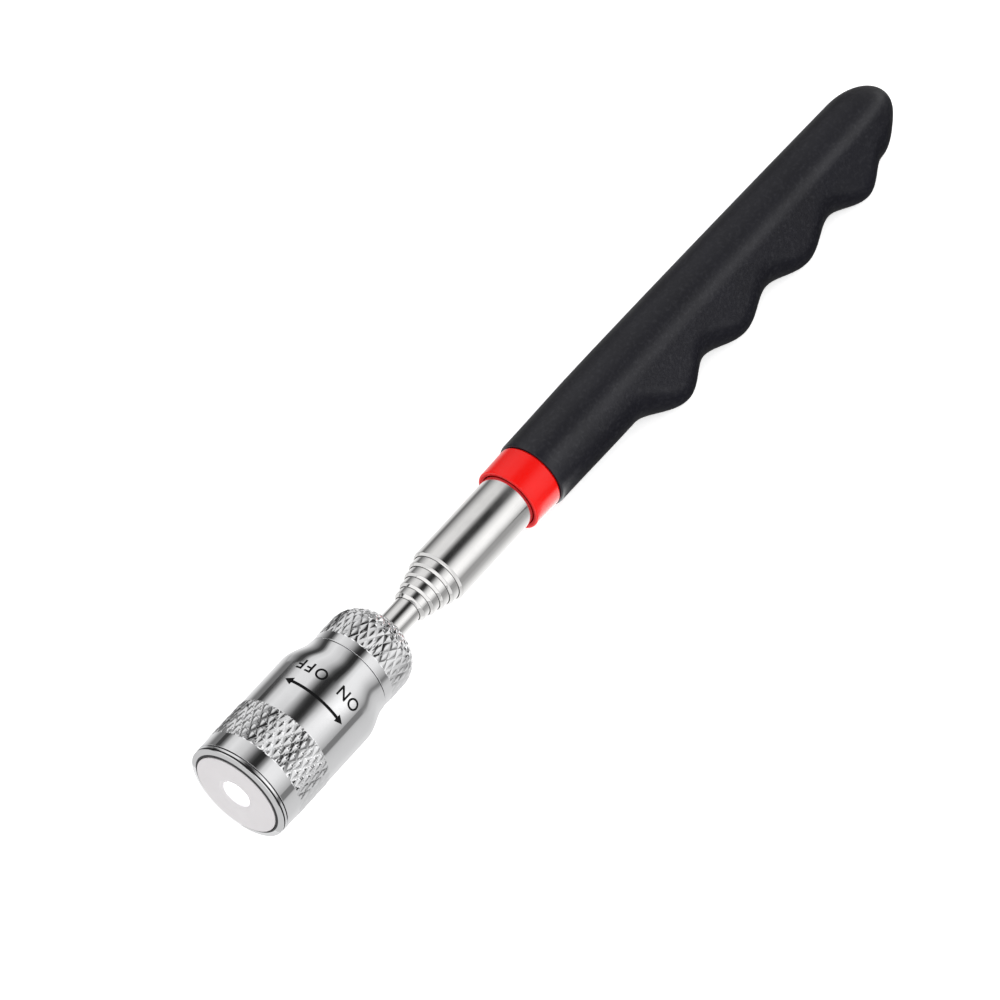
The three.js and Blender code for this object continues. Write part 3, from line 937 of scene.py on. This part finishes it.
GRIP_LIGHT = [
    (-90, 0.1),
    (-66, 0.34),
    (-45, 0.34),
    (-24, 0.31),
    (-10, 0.29),
    (4, 0.29),
    (14, 0.38),
    (22, 0.64),
    (30, 1.02),
    (38, 1.22),
    (45, 1.2),
    (51, 0.9),
    (57, 0.32),
    (63, 0.06),
    (90, 0.02),
]
TUNNEL_R = 0.7
# Where the tunnel's zones meet along the frame's x, in metres.
TUNNEL_START = -0.6
HEAD_ZONE_END = 0.265
TUBE_ZONE_END = 0.37
TUNNEL_END = 4.0
# Stations along the tool: where the floor cards of head and tubes meet, and the fan round the rod.
CARD_MEET_X = 36
FAN_X = 40


def degrees_round(height, limit):
    """The factor of an emitter that runs round a line along x at a height, from 0 to 1 between
    minus and plus the limit, in degrees from straight up towards the bump side.
    """

    def factor_of(nodes, axes):
        across = nodes.add("ShaderNodeMath", {0: axes["Y"], 1: -1.0}, operation="MULTIPLY").outputs[0]
        up = nodes.add("ShaderNodeMath", {0: axes["Z"], 1: height}, operation="SUBTRACT").outputs[0]
        angle = nodes.add("ShaderNodeMath", {0: across, 1: up}, operation="ARCTAN2").outputs[0]
        share = {0: angle, 1: 0.5 / math.radians(limit), 2: 0.5}
        return nodes.add("ShaderNodeMath", share, operation="MULTIPLY_ADD").outputs[0]

    return factor_of


def light_tunnel(name, first, last, light):
    """A half cylinder along the tool whose bands are what the polished metal mirrors."""
    columns = 64
    limit = 90
    stops = [(degrees / limit / 2 + 0.5, level) for degrees, level in light]
    arc = [math.pi * k / columns for k in range(columns + 1)]
    verts = [(x, -TUNNEL_R * math.cos(t), TUNNEL_R * math.sin(t)) for t in arc for x in (first, last)]
    faces = [(2 * k, 2 * k + 1, 2 * k + 3, 2 * k + 2) for k in range(columns)]
    reflected(name, verts, faces, emitter(name, degrees_round(0.0, limit), stops))


def distance_out(nodes, axes):
    """How far a point on the floor is from the tool, as a share of the tunnel's radius."""
    away = nodes.add("ShaderNodeMath", {0: axes["Y"]}, operation="ABSOLUTE").outputs[0]
    share = {0: away, 1: 1 / TUNNEL_R}
    return nodes.add("ShaderNodeMath", share, operation="MULTIPLY").outputs[0]


def floor_cards(back):
    """Cards on the floor beside the tool, seen only in reflections.

    Each has the brightness its stretch of the tool mirrors, by millimetres out from the tool.
    They lean along the tool as the mirrored rays do, apart from the foremost edges.
    """
    lean = -back.x / math.hypot(back.y, back.z)
    height = 0.0002
    collar_start = span("collar").start
    beyond = GRIP.end + 150
    cards = [
        ("head_card", -1, -2, CARD_MEET_X, [(9, 0.75), (14, 0.65), (40, 0.57), (52, 0.5), (60, 0.2)]),
        ("tube_card", -1, CARD_MEET_X, collar_start, [(5, 1.05), (10, 0.8), (17, 0.5), (31, 0.37)]),
        ("collar_card", -1, collar_start, GRIP.start, [(16, 2.4), (22, 1.6), (30, 0.1)]),
        ("grip_card", -1, GRIP.start, beyond, [(5, 0.12), (15, 0.04)]),
        ("far_card", 1, -2, GRIP.start, [(5, 1.0), (20, 0.8), (45, 0.3), (60, 0.18)]),
        ("far_grip_card", 1, GRIP.start, beyond, [(5, 0.3), (20, 0.24), (60, 0.14)]),
    ]
    for name, side, first, last, stops in cards:
        start = (TO_ROW @ Vector((first, 0, 0))).x
        end = (TO_ROW @ Vector((last, 0, 0))).x
        shift = lean * TUNNEL_R
        corners = [
            (start, 0, height),
            (end, 0, height),
            (end + shift, side * TUNNEL_R, height),
            (start + (shift if first > 0 else 0), side * TUNNEL_R, height),
        ]
        ramp = [(out / 1000 / TUNNEL_R, level) for out, level in stops]
        reflected(name, corners, [(0, 1, 2, 3)], emitter(name, distance_out, ramp))


def neck_fan():
    """A fan that stands round the rod, behind the head, and that the barrel's shoulder mirrors.

    Its bands carry on those of the head's light, drawn in a little because the fan is so near. Its
    back is plain, for the mouths of the tubes.
    """
    centre = TO_ROW @ Vector((FAN_X, 0, 0))
    inner, outer = 0.0105, 0.046
    limit = 120
    columns = 48
    back_gap = 0.0003
    drawn_in, turned = 0.85, 3.3
    bands = [(-110, 0.75), (-92, 0.35)]
    bands += [(degrees * drawn_in + turned, level) for degrees, level in HEAD_LIGHT]
    bands += [(87, 0.2), (92, 0.25), (99, 0.52), (112, 0.62)]
    turns = [math.radians(limit) * (2 * k / columns - 1) for k in range(columns + 1)]
    faces = [(2 * k, 2 * k + 1, 2 * k + 3, 2 * k + 2) for k in range(columns)]
    front = [(degrees / limit / 2 + 0.5, level) for degrees, level in bands]
    back = [(0.0, 0.8), (1.0, 0.85)]
    for name, x, stops in (("neck_fan", centre.x, front), ("neck_fan_back", centre.x + back_gap, back)):
        verts = [
            (x, -r * math.sin(t), centre.z + r * math.cos(t)) for t in turns for r in (inner, outer)
        ]
        reflected(name, verts, faces, emitter(name, degrees_round(centre.z, limit), stops))


def distance_ahead(nodes, axes):
    """How far a point is in front of the head, as a share of the tunnel's radius."""
    head_x = (TO_ROW @ Vector((0, 0, 0))).x
    share = {0: axes["X"], 1: -1 / TUNNEL_R, 2: head_x / TUNNEL_R}
    return nodes.add("ShaderNodeMath", share, operation="MULTIPLY_ADD").outputs[0]


def front_card():
    """A grey card on the floor in front of the head, which the rim's bead mirrors."""
    near = (TO_ROW @ Vector((-2, 0, 0))).x
    far, half_width, height = -0.8, 0.4, 0.0003
    corners = [
        (near, -half_width, height),
        (far, -half_width, height),
        (far, half_width, height),
        (near, half_width, height),
    ]
    stops = [(0.0, 0.6), (0.3, 0.5), (0.9, 0.9)]
    material = emitter("front_card", distance_ahead, stops)
    reflected("front_card", corners, [(0, 1, 2, 3)], material)


def world():
    made = bpy.data.worlds.new("studio")
    bpy.context.scene.world = made
    made.use_nodes = True
    made.node_tree.nodes["Background"].inputs["Color"].default_value = (1, 1, 1, 1)
    made.node_tree.nodes["Background"].inputs["Strength"].default_value = 1.05


def key_light():
    """One large soft lamp above the camera's side. The metal doesn't mirror it."""
    data = bpy.data.lights.new("key", "AREA")
    data.shape = "RECTANGLE"
    data.size = 0.7
    data.size_y = 0.5
    data.energy = 2.5
    lamp_object = bpy.data.objects.new("key", data)
    bpy.context.scene.collection.objects.link(lamp_object)
    lamp_object.location = (-0.3, -0.42, 0.75)
    lamp_object.rotation_mode = "QUATERNION"
    lamp_object.rotation_quaternion = (-lamp_object.location).to_track_quat("-Z", "Y")
    lamp_object.visible_glossy = False


def camera():
    """A long lens that looks down on the tool from the head's end. Gives the way back to it."""
    azimuth = math.radians(-53.0)
    elevation = math.radians(56.3)
    aim_x = 68.36
    aim_off_axis = 0.96
    distance = 1.0
    back = Vector(
        (
            math.sin(azimuth) * math.cos(elevation),
            -math.cos(azimuth) * math.cos(elevation),
            math.sin(elevation),
        )
    )
    sideways = back.cross(AXIS).normalized()
    target = TO_ROW @ Vector((aim_x, 0, 0)) + sideways * aim_off_axis / 1000
    data = bpy.data.cameras.new("camera")
    data.lens = 228.1
    data.sensor_width = 36.0
    data.clip_start = 0.05
    data.clip_end = 50
    obj = bpy.data.objects.new("camera", data)
    bpy.context.scene.collection.objects.link(obj)
    obj.location = target + back * distance
    obj.rotation_mode = "QUATERNION"
    obj.rotation_quaternion = (-back).to_track_quat("-Z", "Y")
    bpy.context.scene.camera = obj
    return back


floor()
light_tunnel("head_light", TUNNEL_START, HEAD_ZONE_END, HEAD_LIGHT)
light_tunnel("tube_light", HEAD_ZONE_END, TUBE_ZONE_END, TUBE_LIGHT)
light_tunnel("grip_light", TUBE_ZONE_END, TUNNEL_END, GRIP_LIGHT)
floor_cards(camera())
neck_fan()
front_card()
world()
key_light()
bpy.context.scene.view_settings.view_transform = "Standard"
